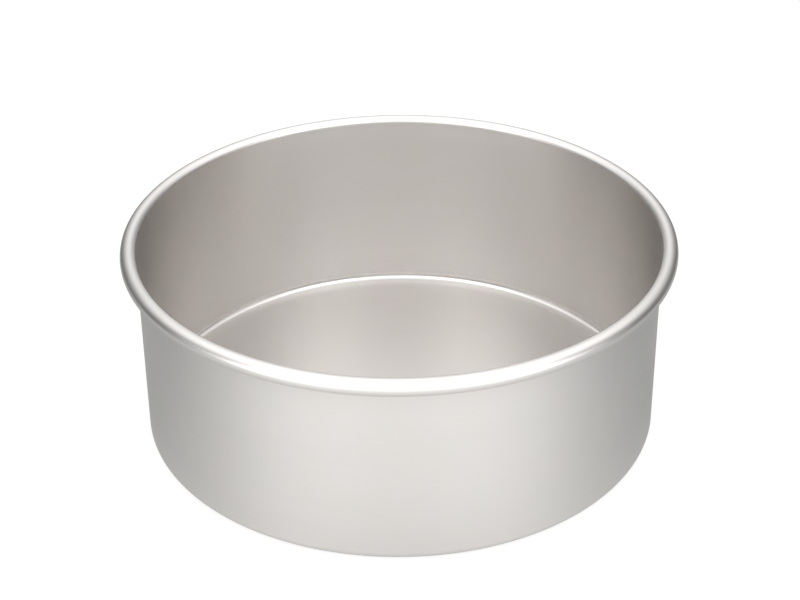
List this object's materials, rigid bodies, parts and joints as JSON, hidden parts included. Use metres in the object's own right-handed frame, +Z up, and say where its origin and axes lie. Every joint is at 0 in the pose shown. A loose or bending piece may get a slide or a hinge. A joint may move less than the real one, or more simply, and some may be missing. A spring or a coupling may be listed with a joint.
{
  "type": "round cake tin",
  "caption": "Round, deep, straight-sided cake tin of satin aluminium, seamless, with a flat floor and a hollow rolled rim.",
  "frame": {"origin": "centre of the flat underside of the base, on the surface that the tin stands on", "axes": "+Z up along the tin's axis, out of its open top; X and Y lie in the base and are alike, because the tin is round"},
  "size_m": [0.2138, 0.2138, 0.08],
  "materials": {
    "anodised_aluminium": "satin"
  },
  "bodies": {
    "root": {"tin": "anodised_aluminium"}
  },
  "joints": []
}
